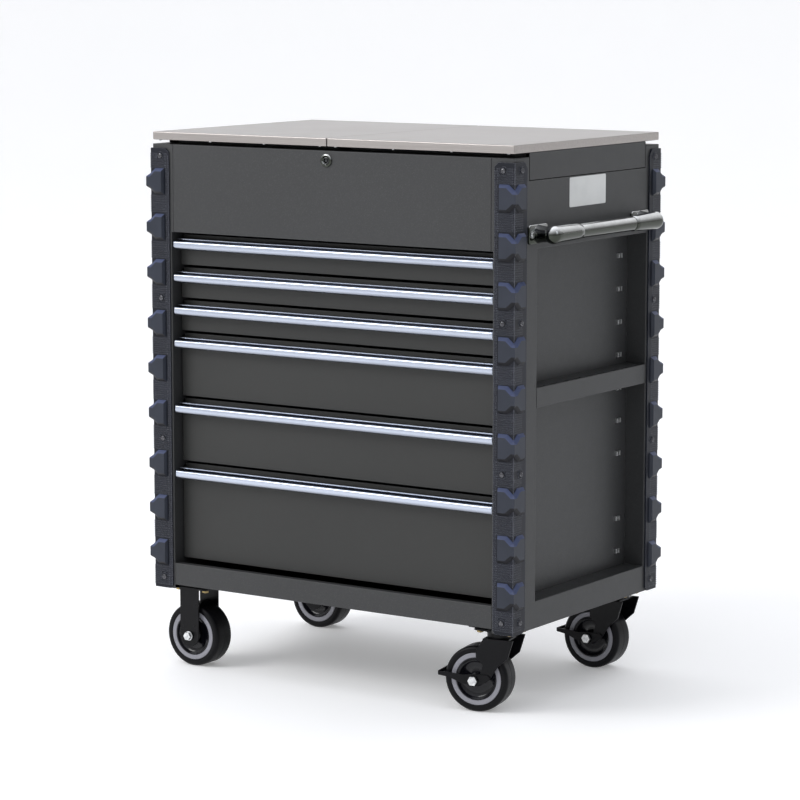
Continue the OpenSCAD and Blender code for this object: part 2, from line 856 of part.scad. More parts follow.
top_frame(-1);  // top_frame_left
top_frame(1);  // top_frame_right
top_runners(-1);  // top_runners_left
top_runners(1);  // top_runners_right
for (i = [1 : drawers]) {
    drawer_box(i);
    drawer_pull(i);
    drawer_runners(i);
}
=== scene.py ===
# %% [markdown]
# # A rolling tool chest
#
# The real chest is a folded-steel cabinet with a powder coat. Six drawers run on ball slides,
# two stainless halves of the work surface slide apart over an upper compartment, plastic guards
# cover the corners, and the whole cabinet rolls on two fixed and two swivelling casters.
#
# The mechanical model already says where each part is and how it moves. This lesson dresses it:
# it rebuilds the parts whose shape matters to the eye and gives every part a worked finish.

# %% Load the mechanical model
import json
import math

import bmesh
import bpy
from mathutils import Matrix, Vector

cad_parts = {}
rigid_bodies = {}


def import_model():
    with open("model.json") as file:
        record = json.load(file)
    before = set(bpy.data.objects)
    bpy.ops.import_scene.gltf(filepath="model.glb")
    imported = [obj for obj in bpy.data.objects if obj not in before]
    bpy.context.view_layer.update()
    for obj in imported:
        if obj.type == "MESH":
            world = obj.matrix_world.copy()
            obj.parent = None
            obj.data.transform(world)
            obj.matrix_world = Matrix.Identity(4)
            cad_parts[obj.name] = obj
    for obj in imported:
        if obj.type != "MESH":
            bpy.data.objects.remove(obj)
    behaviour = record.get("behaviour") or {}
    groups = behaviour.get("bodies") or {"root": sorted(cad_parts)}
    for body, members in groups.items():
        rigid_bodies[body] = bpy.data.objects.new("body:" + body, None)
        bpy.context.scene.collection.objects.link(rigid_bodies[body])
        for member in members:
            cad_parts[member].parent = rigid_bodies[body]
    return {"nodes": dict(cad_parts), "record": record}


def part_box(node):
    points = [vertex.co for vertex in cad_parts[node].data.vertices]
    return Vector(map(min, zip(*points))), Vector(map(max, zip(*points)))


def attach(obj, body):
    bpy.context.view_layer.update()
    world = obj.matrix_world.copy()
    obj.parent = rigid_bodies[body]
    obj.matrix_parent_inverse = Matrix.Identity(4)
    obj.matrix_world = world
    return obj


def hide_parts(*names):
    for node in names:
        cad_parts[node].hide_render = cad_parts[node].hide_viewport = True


for leftover in list(bpy.data.objects):
    bpy.data.objects.remove(leftover)
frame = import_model()
bpy.context.view_layer.update()

# %% [markdown]
# Blender works in metres, and a sheet-metal shop works in millimetres. One constant turns one
# into the other, and a small function gives the corners of any part in millimetres, so that no
# position has to be typed in twice.

# %% Measure the parts
MM = 0.001


def corners(node):
    """Lowest and highest corner of a part, in millimetres."""
    low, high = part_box(node)
    return low / MM, high / MM


BODY_OF = {}
for body_name, members in frame["record"]["behaviour"]["bodies"].items():
    for member in members:
        BODY_OF[member] = body_name

pan_low, pan_high = corners("base_pan")
skin_low, skin_high = corners("top_skin_right")
MIDDLE_X = (pan_low.x + pan_high.x) / 2
HALF_W = skin_high.x - MIDDLE_X
HALF_D = skin_high.y
FRONT_Y = -HALF_D
print("cabinet: width", 2 * HALF_W, "depth", 2 * HALF_D, "middle at x", MIDDLE_X)

# %% [markdown]
# The camera comes first, because every later look depends on it. It stands in front of the
# chest and to its right, a little above the work surface, and far away: a long lens keeps the
# upright edges nearly parallel, as in a catalogue picture.

# %% Camera
CAMERA_PLACE = Vector((3.3450, -5.0384, 1.4105))
CAMERA_AZIMUTH = math.radians(33.854)
CAMERA_ELEVATION = math.radians(8.164)
CAMERA_LENS = 138.23

camera_data = bpy.data.cameras.new("camera")
camera_data.lens = CAMERA_LENS
camera_data.sensor_width = 36
camera_data.clip_end = 200
camera = bpy.data.objects.new("camera", camera_data)
look = Vector((
    -math.sin(CAMERA_AZIMUTH) * math.cos(CAMERA_ELEVATION),
    math.cos(CAMERA_AZIMUTH) * math.cos(CAMERA_ELEVATION),
    -math.sin(CAMERA_ELEVATION),
))
camera.location = CAMERA_PLACE
camera.rotation_mode = "QUATERNION"
camera.rotation_quaternion = look.to_track_quat("-Z", "Y")
bpy.context.scene.collection.objects.link(camera)
bpy.context.scene.camera = camera
print("camera looks along", look)

# %% [markdown]
# A finish is a tree of shader nodes. Wiring nodes by hand hides the idea behind them, so one
# small class wraps a node's output and lets Python do the arithmetic: `1 - mask * 0.3` adds the
# Math nodes that it needs. Colours never go through Math nodes, which would turn them grey;
# they are mixed with a Mix node.

# %% Shader arithmetic
class Value:
    """One output of a shader node, for use in Python arithmetic."""

    def __init__(self, owner, socket):
        self.owner = owner
        self.socket = socket

    def maths(self, operation, other, swapped=False):
        first, second = (other, self) if swapped else (self, other)
        return self.owner.node("Math", {"operation": operation}, {0: first, 1: second})

    def __add__(self, other):
        return self.maths("ADD", other)

    def __radd__(self, other):
        return self.maths("ADD", other, swapped=True)

    def __sub__(self, other):
        return self.maths("SUBTRACT", other)

    def __rsub__(self, other):
        return self.maths("SUBTRACT", other, swapped=True)

    def __mul__(self, other):
        return self.maths("MULTIPLY", other)

    def __rmul__(self, other):
        return self.maths("MULTIPLY", other, swapped=True)

    def clipped(self, low, high):
        """The part of this value between low and high, stretched to 0 to 1."""
        sockets = {"Value": self, "From Min": low, "From Max": high}
        return self.owner.node("MapRange", sockets=sockets, output="Result")


print("values of a shader can be added, subtracted, multiplied and clipped")

# %% [markdown]
# Nodes live in a tree, and both a material and the sky have one. Every node that isn't plain
# arithmetic comes from one method, which takes its type, its settings and what its sockets get.

# %% A tree of nodes
class NodeTree:
    """A node tree, and the means to add nodes to it."""

    def __init__(self, tree):
        self.tree = tree

    def feed(self, socket, value):
        if isinstance(value, Value):
            self.tree.links.new(value.socket, socket)
        else:
            socket.default_value = value

    def node(self, kind, settings=None, sockets=None, output=0):
        made = self.tree.nodes.new("ShaderNode" + kind)
        for name, setting in (settings or {}).items():
            setattr(made, name, setting)
        for name, value in (sockets or {}).items():
            self.feed(made.inputs[name], value)
        return Value(self, made.outputs[output])

    def mix(self, factor, first, second):
        """A colour between two colours."""
        return self.node(
            "Mix", {"data_type": "RGBA"}, {0: factor, 6: first, 7: second}, output=2
        )


print("node trees can be fed")

# %% [markdown]
# A finish is a material with one main shader. It measures everything in the coordinates of the
# object, so a pattern stays on its piece when the piece moves. Lighter edges come from comparing
# the true direction of a face with one that is rounded over a small radius; they are wear on some
# finishes and a painted highlight on others.

# %% Finishes
class Finish(NodeTree):
    """A material with one main shader, and the patterns that finishes are made of."""

    def __init__(self, name, **constants):
        self.material = bpy.data.materials.new(name)
        self.material.use_nodes = True
        super().__init__(self.material.node_tree)
        self.shader = self.tree.nodes["Principled BSDF"]
        for socket, constant in constants.items():
            self.shader.inputs[socket.replace("_", " ")].default_value = constant
        self.place = self.node("TexCoord", output="Object")

    def stretched(self, x, y, z):
        """Object coordinates, multiplied along each axis."""
        return self.node("VectorMath", {"operation": "MULTIPLY"}, {0: self.place, 1: (x, y, z)})

    def noise(self, scale, detail=2.0, place=None):
        sockets = {"Vector": place or self.place, "Scale": scale, "Detail": detail}
        return self.node("TexNoise", sockets=sockets)

    def moulding_grain(self):
        """The tight cells of an etched mould."""
        sockets = {"Vector": self.place, "Scale": 900.0}
        return self.node("TexVoronoi", sockets=sockets, output="Distance")

    def bump(self, height, distance):
        sockets = {"Height": height, "Distance": distance, "Strength": 1.0}
        return self.node("Bump", sockets=sockets)

    def edge_mask(self, radius):
        """Near 1 along edges and 0 on flat faces: rounded normals differ from real ones there."""
        rounded = self.node("Bevel", {"samples": 4}, {"Radius": radius})
        real = self.node("NewGeometry", output="Normal")
        facing = self.node(
            "VectorMath", {"operation": "DOT_PRODUCT"}, {0: rounded, 1: real}, output="Value"
        )
        return (1 - facing).clipped(0.02, 0.25)

    def upward(self):
        """How much a surface faces up: 1 for level, 0 for upright, -1 for an underside."""
        normal = self.node("NewGeometry", output="Normal")
        return self.node("SeparateXYZ", sockets={0: normal}, output="Z")

    def set(self, **links):
        for socket, value in links.items():
            self.feed(self.shader.inputs[socket.replace("_", " ")], value)
        return self.material


def grey(level):
    return (level, level, level, 1.0)


print("finishes can be mixed, bumped and worn at their edges")

# %% [markdown]
# Powder coat is a dry paint, melted onto the steel in an oven. It is satin, it has a fine
# orange-peel skin, and it thins out along sharp edges. Its edges are painted lighter: partly
# that thinning, partly a painted highlight where a rounded bend would catch the light. A painter
# would paint the peel as a texture image. Two noises do it here at any distance: one for the
# peel, as bump, and one for the slow drift of colour and gloss over a large door.

# %% Powder coat
def powder_coat(name, colour, edge_colour, gloss, peel=0.00007, **constants):
    coat = Finish(name, IOR=1.5, **constants)
    drift = coat.noise(3.5, 3)
    fine = coat.noise(750, 2)
    dust = coat.noise(45, 4)
    edges = coat.edge_mask(0.0011)
    darker = tuple(c * 0.88 for c in colour[:3]) + (1.0,)
    base = coat.mix(drift.clipped(0.3, 0.7), darker, colour)
    speckled = coat.mix(fine.clipped(0.55, 0.8) * 0.25, base, edge_colour)
    # Edges painted lighter: partly the thinner coat, partly a painted highlight along the bends.
    highlit = coat.mix(edges * 0.55, speckled, edge_colour)
    rough = gloss + (drift - 0.5) * 0.08 + (dust - 0.5) * 0.10 - edges * 0.08
    return coat.set(
        Base_Color=highlit,
        Roughness=rough,
        Normal=coat.bump(fine + dust * 0.4, peel),
    )


BODY_PAINT = powder_coat(
    "body_powder_coat", (0.034, 0.035, 0.036, 1), grey(0.17), 0.45, Specular_IOR_Level=0.4
)
DRAWER_PAINT = powder_coat(
    "drawer_powder_coat", (0.028, 0.0285, 0.027, 1), (0.08, 0.08, 0.078, 1), 0.50,
    Specular_IOR_Level=0.4,
)
FORK_BLACK = powder_coat(
    "fork_black", (0.002, 0.002, 0.003, 1), grey(0.02), 0.30, Specular_IOR_Level=0.18
)
print("powder coats made")

# %% [markdown]
# The corner guards and the tyres are moulded. Moulded plastic copies the grain that is etched
# into its mould, so a tight cell pattern as bump says "plastic" at once, while its colour stays
# very even. Rubber is duller, and rolling rubs it grey.

# %% Moulded plastic and rubber
def moulded(name, colour, worn_colour, gloss, grain=0.00006, **constants):
    plastic = Finish(name, **constants)
    cells = plastic.moulding_grain()
    drift = plastic.noise(9, 3)
    fine = plastic.noise(260, 3)
    edges = plastic.edge_mask(0.0012)
    base = plastic.mix(drift.clipped(0.35, 0.75) * 0.35, colour, worn_colour)
    pale_edged = plastic.mix(edges * 0.5, base, worn_colour)
    return plastic.set(
        Base_Color=pale_edged,
        Roughness=gloss + (fine - 0.5) * 0.14 - edges * 0.06,
        Normal=plastic.bump(cells + fine * 0.5, grain),
    )


def guard_plastic():
    """The ribbed plates: near black, with a pale painted highlight along the crest of each rib."""
    plastic = Finish("guard_plastic", Specular_IOR_Level=0.25)
    cells = plastic.moulding_grain()
    drift = plastic.noise(9, 3)
    crest_highlight = plastic.edge_mask(0.0006)
    base = plastic.mix(drift.clipped(0.3, 0.7), (0.004, 0.005, 0.009, 1), (0.009, 0.011, 0.019, 1))
    # Painted highlight: the crest of each rib is painted pale.
    pale_edged = plastic.mix(crest_highlight, base, (0.24, 0.25, 0.29, 1))
    return plastic.set(
        Base_Color=pale_edged,
        Roughness=0.42 + (drift - 0.5) * 0.12,
        Normal=plastic.bump(cells, 0.00003),
    )


def lug_plastic():
    """The lugs: navy, with painted light on the upward slopes, paler and bluer, and painted shade, near
    black, on the undersides.
    """
    plastic = Finish("lug_plastic", Specular_IOR_Level=0.3)
    cells = plastic.moulding_grain()
    drift = plastic.noise(14, 4)
    up = plastic.upward()
    base = plastic.mix(drift.clipped(0.3, 0.7), (0.018, 0.022, 0.033, 1), (0.026, 0.031, 0.046, 1))
    # Painted shade: undersides are painted near black.
    shaded_undersides = plastic.mix((0 - up).clipped(0.2, 0.5), base, (0.003, 0.003, 0.006, 1))
    # Painted light: upward slopes are painted paler and bluer.
    highlit = plastic.mix(up.clipped(0.2, 0.45), shaded_undersides, (0.042, 0.056, 0.120, 1))
    return plastic.set(
        Base_Color=highlit,
        Roughness=0.40 + (drift - 0.5) * 0.14,
        Normal=plastic.bump(cells, 0.00003),
    )


GUARD_PLASTIC = guard_plastic()
LUG_PLASTIC = lug_plastic()
TYRE_RUBBER = moulded(
    "tyre_rubber", (0.002, 0.002, 0.003, 1), (0.009, 0.009, 0.010, 1), 0.38, Specular_IOR_Level=0.15
)
RING_PLASTIC = moulded("ring_plastic", (0.24, 0.24, 0.27, 1), (0.34, 0.34, 0.37, 1), 0.38)
HUB_PLASTIC = moulded(
    "hub_plastic", (0.003, 0.003, 0.005, 1), (0.012, 0.012, 0.016, 1), 0.16, 0.00002,
    Specular_IOR_Level=0.25, Coat_Weight=0.2, Coat_Roughness=0.08,
)
LOCK_PLASTIC = moulded("lock_black", (0.012, 0.014, 0.016, 1), grey(0.06), 0.25)
print("moulded finishes made")

# %% [markdown]
# Brushed steel and extruded aluminium owe their look to fine parallel lines, which smear every
# reflection across them. Stretching the coordinates of a noise makes such lines: it changes
# slowly along the grain and very fast across it.

# %% Metals with a grain
def grained_metal(name, colour, dark_colour, gloss, across, depth, groove=None):
    """Brushed metal with a painted highlight, near white, along its edges; groove gives, along y in
    metres, where painted shade on the floor of the finger groove starts and ends and where painted
    shade on its back wall starts. Undersides then get painted shade as well."""
    metal = Finish(name, Metallic=1.0)
    grain = metal.stretched(3, across, across)
    lines = metal.noise(1.0, 4, grain)
    long_lines = metal.noise(0.25, 2, grain)
    smudge = metal.noise(7, 4)
    edges = metal.edge_mask(0.0010)
    tone = metal.mix((lines * 0.6 + long_lines * 0.4).clipped(0.35, 0.65), dark_colour, colour)
    # Painted highlight: edges are painted near white.
    painted_light_tone = metal.mix(edges * 0.6, tone, grey(0.92))
    if groove:
        # Painted shade: the floor and back wall of the finger groove are painted dark navy.
        depth_in = metal.node("SeparateXYZ", sockets={0: metal.place}, output="Y")
        start, lip, wall = groove
        floor_band = depth_in.clipped(start, start + 0.0006) * (1 - depth_in.clipped(lip - 0.0006, lip))
        groove_shade = floor_band + depth_in.clipped(wall, wall + 0.0004)
        painted_light_tone = metal.mix(groove_shade * 0.95, painted_light_tone, (0.012, 0.016, 0.035, 1))
        # Painted shade: undersides are painted darker.
        underside_shade = (0 - metal.upward()).clipped(-0.25, 0.75)
        painted_light_tone = metal.mix(underside_shade * 0.75, painted_light_tone, (0.16, 0.16, 0.17, 1))
    return metal.set(
        Base_Color=painted_light_tone,
        Roughness=gloss + (lines - 0.5) * 0.16 + (smudge - 0.5) * 0.08,
        Normal=metal.bump(lines + long_lines, depth),
    )


STAINLESS = grained_metal(
    "brushed_stainless", (0.44, 0.41, 0.39, 1), (0.37, 0.345, 0.33, 1), 0.32, 900, 0.000012
)
NOSE_Y = corners("drawer_pull_1")[0].y
# The pull's bluish tint is a painted reflection of the sky.
PULL_ALUMINIUM = grained_metal(
    "satin_aluminium", (0.62, 0.68, 0.80, 1), (0.52, 0.57, 0.68, 1), 0.27, 1300, 0.000008,
    groove=tuple((NOSE_Y + back) * MM for back in (7.6, 15.6, 20.6)),
)
print("grained metals made")

# %% [markdown]
# Chrome and zinc are thin platings. Chrome is nearly a mirror, so only faint finger smudges in
# its gloss keep it from looking computed. Zinc dries in pale, uneven patches, and the yellow
# kind is the same plating with a passivated tint.

# %% Plated metals
def plated(
    name, colour, patch_colour, gloss, patchiness, patch_scale, pitting=0.000006, underside_shade=None
):
    """Thin plating; the optional colour for flanks and undersides is painted shade, a darker colour
    standing for dark reflections.
    """
    metal = Finish(name, Metallic=1.0)
    patches = metal.noise(patch_scale, 5)
    smudge = metal.noise(22, 4)
    fine = metal.noise(900, 2)
    tone = metal.mix(patches.clipped(0.35, 0.7) * patchiness, colour, patch_colour)
    # Painted shade: flanks and undersides get a darker colour.
    if underside_shade:
        tone = metal.mix((0 - metal.upward()).clipped(-0.70, -0.05), tone, underside_shade)
    return metal.set(
        Base_Color=tone,
        Roughness=gloss + patches.clipped(0.3, 0.8) * patchiness * 0.2 + (smudge - 0.4) * 0.08,
        Normal=metal.bump(fine, pitting),
    )


# Chrome's flanks and undersides get painted shade.
CHROME = plated(
    "chrome", (0.84, 0.85, 0.85, 1), (0.40, 0.41, 0.40, 1), 0.05, 0.35, 30, 0.000001,
    underside_shade=(0.055, 0.06, 0.05, 1),
)
ZINC = plated("zinc", (0.82, 0.83, 0.83, 1), (0.46, 0.47, 0.48, 1), 0.28, 0.8, 140)
YELLOW_ZINC = plated("yellow_zinc", (0.42, 0.31, 0.12, 1), (0.22, 0.19, 0.14, 1), 0.34, 0.7, 160)
SCREW_BLACK = plated("screw_black", (0.14, 0.14, 0.15, 1), (0.04, 0.04, 0.045, 1), 0.20, 0.7, 120)
print("plated metals made")

# %% [markdown]
# The notice on the side is printed on foil with a satin clear film. Here it stays blank: pale,
# with a little wear, and a faint fibre in its gloss so that it isn't a flat patch.

# %% Blank label foil
def label_foil():
    foil = Finish("label_foil", IOR=1.45)
    fibre = foil.noise(320, 4)
    wear = foil.noise(28, 4)
    base = foil.mix(wear.clipped(0.45, 0.8) * 0.3, (0.62, 0.63, 0.62, 1), (0.48, 0.49, 0.49, 1))
    return foil.set(
        Base_Color=base, Roughness=0.36 + (wear - 0.5) * 0.2, Normal=foil.bump(fibre, 0.00002)
    )


LABEL_FOIL = label_foil()
print("label foil made")

# %% [markdown]
# New pieces are drawn as rings of points. A ring swept along a line gives an extrusion, a ring
# swept round an axis gives a turned part, and two different rings give a tapered block, so one
# small class covers nearly everything that a metal or plastic shop makes.

# %% A class for drawing pieces
class Stock:
    """Points and faces of one piece, in millimetres."""

    def __init__(self):
        self.points = []
        self.faces = []

    def add(self, points, faces, place=None):
        first = len(self.points)
        for point in points:
            point = Vector(point)
            self.points.append(place @ point if place else point)
        for face in faces:
            self.faces.append([first + corner for corner in face])
        return self

    def loft(self, rings, place=None):
        """A solid through rings of equal length, closed at both ends."""
        count = len(rings[0])
        points = [point for ring in rings for point in ring]
        faces = []
        for step in range(len(rings) - 1):
            for side in range(count):
                near = step * count + side
                far = step * count + (side + 1) % count
                faces.append([near, far, far + count, near + count])
        faces.append(list(range(count))[::-1])
        faces.append(list(range(len(points) - count, len(points))))
        return self.add(points, faces, place)

    def block(self, low, high, place=None):
        outline = [(low[0], low[1]), (high[0], low[1]), (high[0], high[1]), (low[0], high[1])]
        rings = [[(x, y, level) for x, y in outline] for level in (low[2], high[2])]
        return self.loft(rings, place)

    def revolve(self, profile, sides=64, place=None):
        """A closed outline of (radius, height) points turned round the z axis."""
        count = len(profile)
        points = []
        for step in range(sides):
            turn = 2 * math.pi * step / sides
            points += [(r * math.cos(turn), r * math.sin(turn), h) for r, h in profile]
        faces = []
        for step in range(sides):
            here = step * count
            there = (step + 1) % sides * count
            for side in range(count):
                after = (side + 1) % count
                faces.append([here + side, there + side, there + after, here + after])
        return self.add(points, faces, place)


def facing(axis, centre):
    """A placing that turns the z axis to another axis and moves the origin to centre."""
    turns = {
        "x": Matrix.Rotation(math.pi / 2, 4, "Y"),
        "-x": Matrix.Rotation(-math.pi / 2, 4, "Y"),
        "y": Matrix.Rotation(-math.pi / 2, 4, "X"),
        "-y": Matrix.Rotation(math.pi / 2, 4, "X"),
        "-z": Matrix.Rotation(math.pi, 4, "X"),
    }
    return Matrix.Translation(Vector(centre)) @ turns[axis]


def arc(centre, radius, start, end, steps=6):
    """Points on a circle from one angle to another, in degrees."""
    angles = [math.radians(start + (end - start) * step / steps) for step in range(steps + 1)]
    return [(centre[0] + radius * math.cos(a), centre[1] + radius * math.sin(a)) for a in angles]


# %% [markdown]
# A drawing becomes a mesh, and the mesh becomes an object that rides on the body that it moves
# with. Drawn pieces already have their round edges as points, so only their shading is split:
# two faces that meet at more than the crease angle get a hard line between them.

# %% Turn a drawing into an object
def dressed(name, mesh, finish, body, stands_for=()):
    """Links a mesh as a piece that rides on a body and stands for some parts."""
    piece = bpy.data.objects.new(name, mesh)
    bpy.context.scene.collection.objects.link(piece)
    mesh.materials.clear()
    mesh.materials.append(finish)
    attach(piece, body)
    if stands_for:
        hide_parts(*stands_for)
    return piece


def make(name, stock, finish, body, stands_for=(), crease=35):
    """The object of a drawing, shaded hard where faces meet at more than the crease angle."""
    mesh = bpy.data.meshes.new(name)
    drawing = bmesh.new()
    dots = [drawing.verts.new(point * MM) for point in stock.points]
    for face in stock.faces:
        drawing.faces.new([dots[corner] for corner in face])
    bmesh.ops.recalc_face_normals(drawing, faces=drawing.faces)
    for face in drawing.faces:
        face.smooth = True
    drawing.to_mesh(mesh)
    drawing.free()
    piece = dressed(name, mesh, finish, body, stands_for)
    mesh.set_sharp_from_angle(angle=math.radians(crease))
    return piece


print("drawings can become pieces")

# %% [markdown]
# Many parts of the mechanical model have the right shape and only look too sharp. Real edges
# are never sharp: folded sheet has a bend radius and sawn metal is deburred. So a copy of the
# part is cleaned up and gets its real edges: a generous radius where two wide faces meet, as in
# folded sheet, and a fine one everywhere else. Each edge carries its own share of the radius as
# a bevel weight, which a Bevel modifier reads, and hardened normals keep the large faces flat.
# Joining the small faces of a wall full of windows can spoil it, so the areas before and after
# are compared, and the joined copy is only used if they agree. One test is missing: nothing
# compares the finished piece with its part. Both side frames agree at this step, and their
# finished pieces still have stray faces, across the left recess and along the bottom.

# %% Round the edges of a part
SHARP = math.radians(32)
LONG_EDGE = 12.0
SAME_AREA = 0.0005


def soften_edges(piece, width):
    bevel = piece.modifiers.new("edges", "BEVEL")
    bevel.width = width * MM
    bevel.segments = 2
    bevel.limit_method = "WEIGHT"
    bevel.use_clamp_overlap = False
    bevel.harden_normals = True


def face_reach(face, edge):
    """How far a face reaches away from one of its edges."""
    start, end = (v.co for v in edge.verts)
    along = (end - start).normalized()
    away = [(v.co - start) - along * (v.co - start).dot(along) for v in face.verts]
    return max(step.length for step in away)


def skin_area(drawing):
    return sum(face.calc_area() for face in drawing.faces)


def cleaned(node):
    """The faces of a part, joined where they lie in one plane."""
    drawing = bmesh.new()
    drawing.from_mesh(frame["nodes"][node].data)
    bmesh.ops.remove_doubles(drawing, verts=drawing.verts, dist=0.00002)
    joined = drawing.copy()
    bmesh.ops.dissolve_limit(
        joined, angle_limit=math.radians(1), verts=joined.verts, edges=joined.edges
    )
    if abs(skin_area(joined) - skin_area(drawing)) < SAME_AREA * skin_area(drawing):
        drawing.free()
        return joined
    joined.free()
    print(node, "keeps its small faces")
    return drawing


# %% Copies of parts, with bend radii
def weigh_edges(drawing, bend, deburr, min_reach):
    """Gives each edge its share of the bend radius, which is the widest."""
    weights = drawing.edges.layers.float.new("bevel_weight_edge")
    for edge in drawing.edges:
        if len(edge.link_faces) != 2 or edge.calc_face_angle(0) < SHARP:
            continue
        folded = edge.is_convex and edge.calc_length() > LONG_EDGE * MM
        folded = folded and all(face_reach(f, edge) > min_reach * MM for f in edge.link_faces)
        edge[weights] = 1.0 if folded else deburr / bend


def copied(node, finish, bend=1.4, deburr=0.3, min_reach=5.0):
    """A copy of a part with rounded edges, in its own finish."""
    mesh = bpy.data.meshes.new(node + "_piece")
    drawing = cleaned(node)
    weigh_edges(drawing, bend, deburr, min_reach)
    for face in drawing.faces:
        face.smooth = True
    drawing.to_mesh(mesh)
    drawing.free()
    if "custom_normal" in mesh.attributes:
        mesh.attributes.remove(mesh.attributes["custom_normal"])
    piece = dressed(node + "_piece", mesh, finish, BODY_OF[node], [node])
    soften_edges(piece, bend)


DRAWERS = 6
STEEL_PARTS = [
    "base_pan", "side_frame_left", "side_frame_right", "inner_walls", "side_crossbars",
    "back_panel", "front_panel", "compartment_floor", "top_frame_left", "top_frame_right",
]
for part in STEEL_PARTS:
    copied(part, BODY_PAINT)
for number in range(1, DRAWERS + 1):
    copied(f"drawer_box_{number}", DRAWER_PAINT, bend=1.0)
    copied(f"drawer_runners_{number}", ZINC, bend=0.5)
print(len(STEEL_PARTS) + 2 * DRAWERS, "folded parts copied")

# %% [markdown]
# The slides, axles, bolts, forks and pedals are good copies too, with finer radii. The
# stainless skins are folded down at their edges and have the widest bends.

# %% Copies of turned, cut and forged parts
for part in ("slide_channels_left", "slide_channels_right", "top_slide_channels",
             "top_runners_left", "top_runners_right", "rigid_axles", "swivel_axle_front",
             "swivel_axle_rear", "handle_bolts"):
    copied(part, ZINC, bend=0.5)
copied("caster_bolts", YELLOW_ZINC, bend=0.6)
for part in ("caster_rails", "rigid_forks", "swivel_plates", "swivel_fork_front",
             "swivel_fork_rear", "brake_pedal_front", "brake_pedal_rear"):
    copied(part, FORK_BLACK, bend=1.0)
for part in ("top_skin_left", "top_skin_right"):
    copied(part, STAINLESS, bend=1.8, min_reach=8.0)
print("other parts copied")

# %% [markdown]
# The corner guards are the chest's most worked pieces. Each is an angle of moulded plastic over
# a corner post. Its front leg has fine level ribs with a row of short ticks beside them, pips
# run down the corner, and nine thick lugs stand out, dipping in a V at the corner so that they
# take a knock from either side. One guard is drawn at the front right corner; mirrored axes
# place the other three. A rib is a small tapered bar, so it catches light on its upper side.

# %% Measure a guard
guard_low, guard_high = corners("corner_guard_front_right")
GUARD_LEG = 41.0
GUARD_PLATE = 4.0
LUG_OUT = 10.0
LUG_HEIGHT = 52.0
LUG_SLOPE = 5.5
LUG_DIP = 11.0
LUG_REACH = 40.0
RIB_PITCH = 4.35
SCREW_IN = 21.0
screw_low, screw_high = corners("guard_screws")
SCREW_Z = [screw_low.z + 5.0 + (screw_high.z - screw_low.z - 10.0) * row / 3 for row in range(4)]
LUG_Z = [
    (SCREW_Z[bay] + SCREW_Z[bay + 1]) / 2 + 90.0 * step
    for bay in range(3) for step in (-1, 0, 1)
]
print("guard from", guard_low, "to", guard_high, "lugs at", [round(z) for z in LUG_Z])


# %% [markdown]
# A leg is described by how far a point is from the corner along it, how far out of it and how
# high. Two small functions turn that into a place, one for the front leg and one for the flank,
# so that ribs and lugs are drawn once and land on both legs.

# %% The legs of a guard and what stands on them
def guard_legs(side, end):
    """Placings on both legs: u from the corner, w out, z up; side and end are -1 or 1."""
    corner_x = MIDDLE_X + side * HALF_W
    corner_y = end * HALF_D

    def front(u, w, z):
        return (corner_x - side * u, corner_y + end * w, z)

    def flank(u, w, z):
        return (corner_x + side * w, corner_y - end * u, z)

    return front, flank


def lug_ring(out, inset):
    """The outline of one face of a lug, as distances along its leg and up."""
    high = LUG_HEIGHT / 2 - inset
    dip = high - LUG_DIP
    reach = LUG_REACH - inset * 0.5
    near = 6 + inset * 0.4
    far = 19 + inset * 0.4
    return [
        (out, -dip), (near, -dip), (far, -high), (reach, -high),
        (reach, high), (far, high), (near, dip), (out, dip),
    ]


def tapered_bar(stock, along, low, high, back, face, z, half_back, half_face):
    """A level bar on a leg, from low to high along it, narrower at its face."""
    section = [
        (back, z - half_back), (face, z - half_face), (face, z + half_face), (back, z + half_back)
    ]
    stock.loft([[along(u, w, level) for w, level in section] for u in (low, high)])


def near_lug(z):
    return min(abs(z - lug) for lug in LUG_Z) < LUG_HEIGHT / 2 + 0.8


print("legs, lugs and bars can be placed")

# %% Plates, ribs and lugs
CUT = 8.0
THIN = GUARD_PLATE - 1.0
SCREW_CLEAR = 8.6
RIB_END = 33.0


def add_plates(stock, front, flank):
    """Both legs, with their far corners cut off; the flank's edge is hidden in the front's."""
    low, high = guard_low.z, guard_high.z
    plate = [(-THIN, low), (GUARD_LEG - CUT * 0.6, low), (GUARD_LEG, low + CUT),
             (GUARD_LEG, high - CUT), (GUARD_LEG - CUT, high), (-THIN, high)]
    stock.loft([[front(u, w, z) for u, z in plate] for w in (0.0, THIN)])
    plate = [(-2.0, low + 0.1), (GUARD_LEG - CUT, low + 0.1), (GUARD_LEG, low + CUT),
             (GUARD_LEG, high - CUT * 1.6), (GUARD_LEG - CUT, high - 0.1), (-2.0, high - 0.1)]
    stock.loft([[flank(u, w, z) for u, z in plate] for w in (0.05, GUARD_PLATE - 0.6)])


